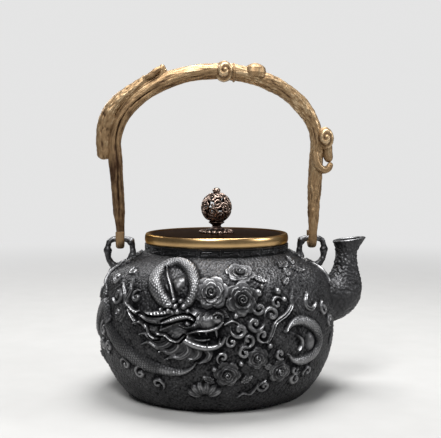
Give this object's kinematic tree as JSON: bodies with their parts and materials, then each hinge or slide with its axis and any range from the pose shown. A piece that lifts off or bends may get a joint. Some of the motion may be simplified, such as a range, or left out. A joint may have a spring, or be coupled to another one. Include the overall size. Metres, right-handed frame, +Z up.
{
  "type": "cast iron teapot",
  "caption": "Squat cast iron kettle with raised dragon and flower relief, an upturned spout, a swinging branch-shaped brass bail and a flat lift-off lid with a pierced ball knob.",
  "frame": {"origin": "centre of the flat base, on the surface that the kettle stands on", "axes": "+X towards the spout, +Z up, and +Y to the far side of the pictured view"},
  "size_m": [0.1791, 0.156, 0.2196],
  "materials": {
    "iron": "near-black satin casting, grey on the worn high places",
    "antique_brass": "aged brass casting, brown in the hollows and tan on the ridges",
    "lid_brass": "polished brass with a dark brown patina on top and a bright rolled edge",
    "dark_bronze": "dark bronze patina with a soft sheen",
    "plain_brass": "plain turned brass"
  },
  "bodies": {
    "kettle": {"pot_body": "iron", "spout": "iron", "front_lug": "iron", "rear_lug": "iron"},
    "bail": {"bail": "antique_brass"},
    "lid": {"lid_plate": "lid_brass", "lid_collar": "lid_brass", "knob_rosette": "dark_bronze", "knob_stem": "dark_bronze", "knob_ball": "dark_bronze", "knob_bolt": "dark_bronze", "knob_washer": "plain_brass", "knob_nut": "plain_brass"}
  },
  "joints": [
    {"name": "bail_swing", "type": "hinge", "parent": "kettle", "child": "bail", "pos_m": [0, 0, 0.1017], "axis": [1, 0, 0], "range_deg": [-110, 110]},
    {"name": "lid_lift", "type": "slide", "parent": "kettle", "child": "lid", "axis": [0, 0, 1], "range_m": [0, 0.06]}
  ]
}
